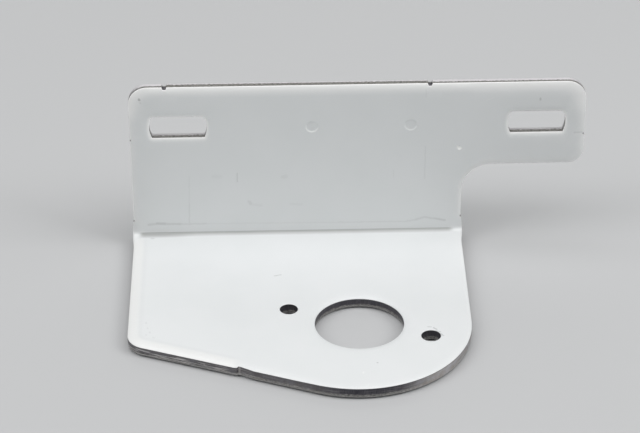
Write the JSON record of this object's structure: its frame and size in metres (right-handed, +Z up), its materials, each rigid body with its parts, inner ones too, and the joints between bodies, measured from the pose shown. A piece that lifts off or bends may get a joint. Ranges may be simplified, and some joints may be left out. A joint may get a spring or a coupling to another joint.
{
  "type": "motor mounting bracket",
  "caption": "Folded sheet bracket with a base plate for a small motor and an upright flange with slots for fixing to a panel.",
  "frame": {"origin": "on the pilot hole's axis, at the underside of the base plate", "axes": "+Z up, out of the base plate along the pilot hole's axis; +X along the fold, towards the flange's ear; +Y towards the flange"},
  "size_m": [0.0786, 0.0498, 0.0312],
  "materials": {
    "plated_sheet": "satin zinc plating"
  },
  "bodies": {
    "root": {"motor_bracket": "plated_sheet"}
  },
  "joints": []
}
